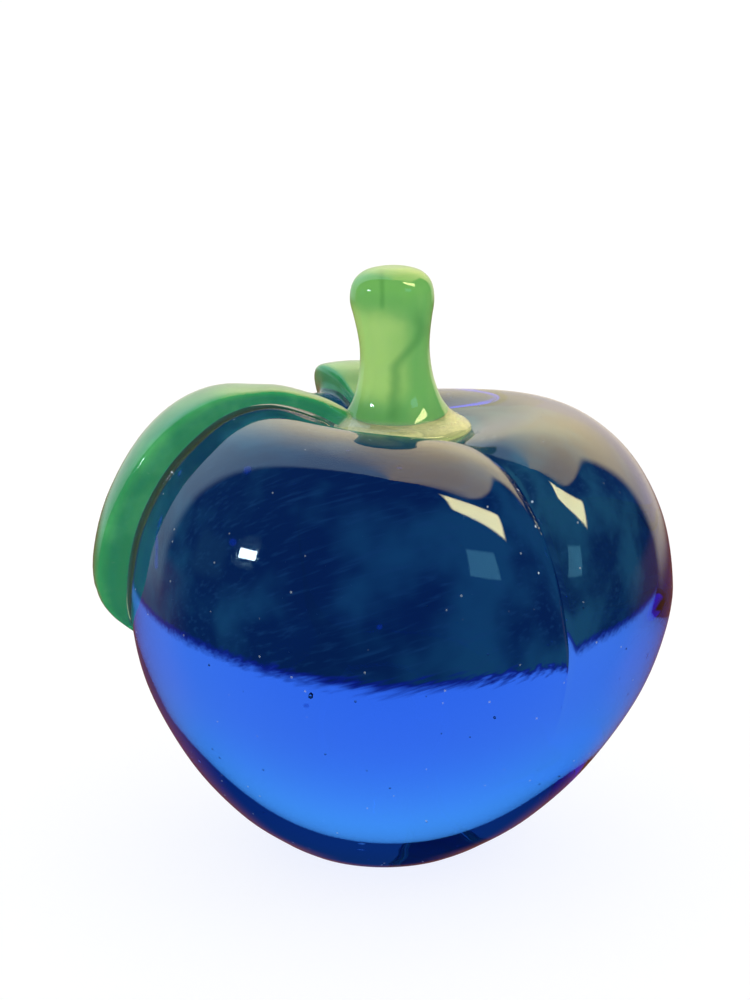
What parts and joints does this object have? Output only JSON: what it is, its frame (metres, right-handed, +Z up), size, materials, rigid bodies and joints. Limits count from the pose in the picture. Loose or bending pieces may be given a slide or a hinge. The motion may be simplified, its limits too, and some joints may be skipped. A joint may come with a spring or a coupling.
{
  "type": "art glass apple",
  "caption": "Solid blue glass apple with a creased side, a flat base, and a green stem and two green leaves cased in clear glass; a free-standing ornament or paperweight.",
  "frame": {"origin": "centre of the flat ground into the base, on the surface that the apple stands on", "axes": "+Z up through the stem, +X to the viewer's right and -Y towards the viewer of the creased front"},
  "size_m": [0.097, 0.0931, 0.0984],
  "materials": {
    "blue_glass": "fire-polished transparent cobalt blue",
    "green_opaline": "glossy translucent yellow green with darker swirls",
    "leaf_green_glass": "glossy deep green, see-through at thin edges",
    "clear_glass": "fire-polished clear skin"
  },
  "bodies": {
    "root": {"apple_body": "blue_glass", "stem_core": "green_opaline", "stem_casing": "clear_glass", "side_leaf_core": "leaf_green_glass", "side_leaf_casing": "clear_glass", "back_leaf_core": "leaf_green_glass", "back_leaf_casing": "clear_glass"}
  },
  "joints": []
}
